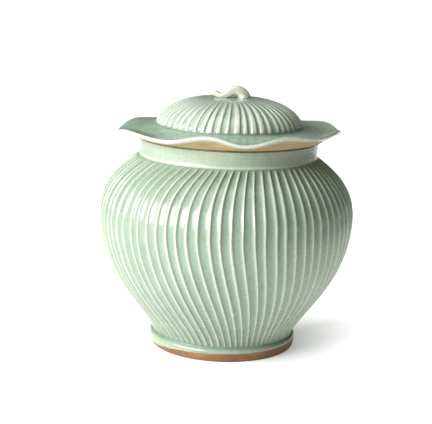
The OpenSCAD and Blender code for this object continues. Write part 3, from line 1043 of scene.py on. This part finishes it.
def make_floor():
    """A plain pale floor that glows softly in the strip round the jar, which widens away from the camera. The
    glow is painted light: it washes out the jar's cast shadow behind it and to its right, and lifts the far
    floor to white.
    """
    let_go()
    bpy.ops.mesh.primitive_plane_add(size=80, location=(0, 0, 0))
    floor = bpy.context.object
    floor.name = "floor"
    f = Finish("pale_floor")
    split = f.node("ShaderNodeSeparateXYZ")
    f.fill(split.inputs[0], f.place)
    x, y = split.outputs["X"], split.outputs["Y"]
    strip_half, strip_growth, soft_edge, strip_start = 0.34, 0.19, 0.30, -0.30
    half_width = f.math("ADD", f.math("MULTIPLY", y, strip_growth), strip_half)
    past_edge = f.math("SUBTRACT", f.math("ABSOLUTE", x), half_width)
    across = f.between(past_edge, 0.0, soft_edge, 1.0, 0.0)
    strip = f.math("MULTIPLY", across, f.between(y, strip_start - soft_edge, strip_start))
    cloud = f.between(f.noise(0.3, detail=2), 0.3, 0.7)
    pale = f.mix(cloud, (0.50, 0.48, 0.44), (0.53, 0.51, 0.47))
    white = f.mix(cloud, (0.88, 0.88, 0.88), (0.90, 0.90, 0.90))
    # Painted light: the glow rises behind the jar and to its right, over its cast shadow
    glow_over_shadow_behind = f.between(y, 0.0, 0.12, FLOOR_GLOW, FAR_GLOW)
    glow_over_shadow_aside = f.between(x, 0.04, 0.16, FLOOR_GLOW, SIDE_GLOW)
    away = f.node("ShaderNodeVectorMath", operation="LENGTH")
    f.fill(away.inputs[0], f.place)
    far_glow = f.between(away.outputs["Value"], 1.2, 3.0, 0.0, FAR_GLOW)
    near_glow = f.math("MULTIPLY", strip, f.math("MAXIMUM", glow_over_shadow_behind, glow_over_shadow_aside))
    f.give(
        Base_Color=f.mix(strip, pale, white),
        Roughness=0.9,
        Specular_IOR_Level=0.1,
        Emission_Color=(1, 1, 1, 1),
        Emission_Strength=f.math("MAXIMUM", near_glow, far_glow),
    )
    floor.data.materials.append(f.material)


def soft_box(name, azimuth, elevation, distance, width, height, radiance, target):
    """A softbox seen from the target at that azimuth from the front and that elevation."""
    az, el = math.radians(azimuth), math.radians(elevation)
    away = Vector((math.sin(az) * math.cos(el), -math.cos(az) * math.cos(el), math.sin(el)))
    lamp = bpy.data.lights.new(name, "AREA")
    lamp.shape = "RECTANGLE"
    lamp.size = width
    lamp.size_y = height
    lamp.energy = radiance * math.pi * width * height
    holder = bpy.data.objects.new(name, lamp)
    bpy.context.scene.collection.objects.link(holder)
    holder.location = target + away * distance
    holder.rotation_euler = away.to_track_quat("Z", "Y").to_euler()


def make_lights():
    """A big window at the left and a weaker one overhead."""
    middle = Vector((0, 0, 150 * MM))
    soft_box("left_window", azimuth=-54, elevation=19, distance=1.5, width=1.30, height=0.88,
             radiance=WINDOW_LIGHT, target=middle)
    soft_box("overhead", azimuth=-15, elevation=80, distance=1.3, width=0.85, height=0.6,
             radiance=OVERHEAD_LIGHT, target=middle)


def make_world():
    """Room light: dim and warm below, brighter overhead, and fading towards the right."""
    world = bpy.data.worlds.new("studio")
    bpy.context.scene.world = world
    world.use_nodes = True
    tree = world.node_tree
    tree.nodes.clear()
    place = tree.nodes.new("ShaderNodeTexCoord")
    split = tree.nodes.new("ShaderNodeSeparateXYZ")
    tree.links.new(place.outputs["Generated"], split.inputs[0])
    lift = tree.nodes.new("ShaderNodeMapRange")
    lift.inputs["From Min"].default_value = -0.5
    lift.inputs["From Max"].default_value = 1.0
    tree.links.new(split.outputs["Z"], lift.inputs["Value"])
    ramp = tree.nodes.new("ShaderNodeValToRGB")
    tree.links.new(lift.outputs["Result"], ramp.inputs["Fac"])
    tones = ramp.color_ramp.elements
    while len(tones) < len(ROOM_TONES):
        tones.new(0.5)
    for tone, (where, colour) in zip(tones, ROOM_TONES):
        tone.position = where
        tone.color = (*colour, 1)
    side = tree.nodes.new("ShaderNodeMapRange")
    side.inputs["From Min"].default_value = -0.2
    side.inputs["From Max"].default_value = 0.9
    side.inputs["To Min"].default_value = 1.2 * ROOM_LIGHT
    side.inputs["To Max"].default_value = 0.15 * ROOM_LIGHT
    tree.links.new(split.outputs["X"], side.inputs["Value"])
    back = tree.nodes.new("ShaderNodeBackground")
    tree.links.new(ramp.outputs["Color"], back.inputs["Color"])
    tree.links.new(side.outputs["Result"], back.inputs["Strength"])
    out = tree.nodes.new("ShaderNodeOutputWorld")
    tree.links.new(back.outputs[0], out.inputs["Surface"])


def make_camera():
    """The photograph's view: 12 degrees above level, about 1.19 m away, leaning two degrees."""
    pixel = 1.032 * MM       # one pixel of the photograph at the jar's axis
    photo_width_px = 432
    focal_px = 1150
    aside_px = 10.2
    eye_level_px = 132.2
    elevation = math.radians(12.2)
    lean = math.radians(1.95)
    camera = bpy.data.cameras.new("camera")
    camera.sensor_width = 36
    camera.lens = focal_px / photo_width_px * camera.sensor_width
    camera.clip_end = 100
    holder = bpy.data.objects.new("camera", camera)
    bpy.context.scene.collection.objects.link(holder)
    ahead = Vector((0, math.cos(elevation), -math.sin(elevation)))
    right = Vector((1, 0, 0))
    up = right.cross(ahead)
    leaned_right = math.cos(lean) * right + math.sin(lean) * up
    leaned_up = -math.sin(lean) * right + math.cos(lean) * up
    looked_at = Vector((-aside_px * pixel, 0, eye_level_px * pixel))
    holder.location = looked_at - ahead * focal_px * pixel
    holder.rotation_euler = Matrix((leaned_right, leaned_up, -ahead)).transposed().to_euler()
    bpy.context.scene.camera = holder


make_walls()
make_foot_ring()
make_foot_roll()
make_base()
make_neck()
make_lip()
make_dome()
make_brim()
make_locating_ring()
make_stalk()

make_floor()
make_world()
make_lights()
make_camera()

bpy.context.scene.view_settings.view_transform = "Standard"
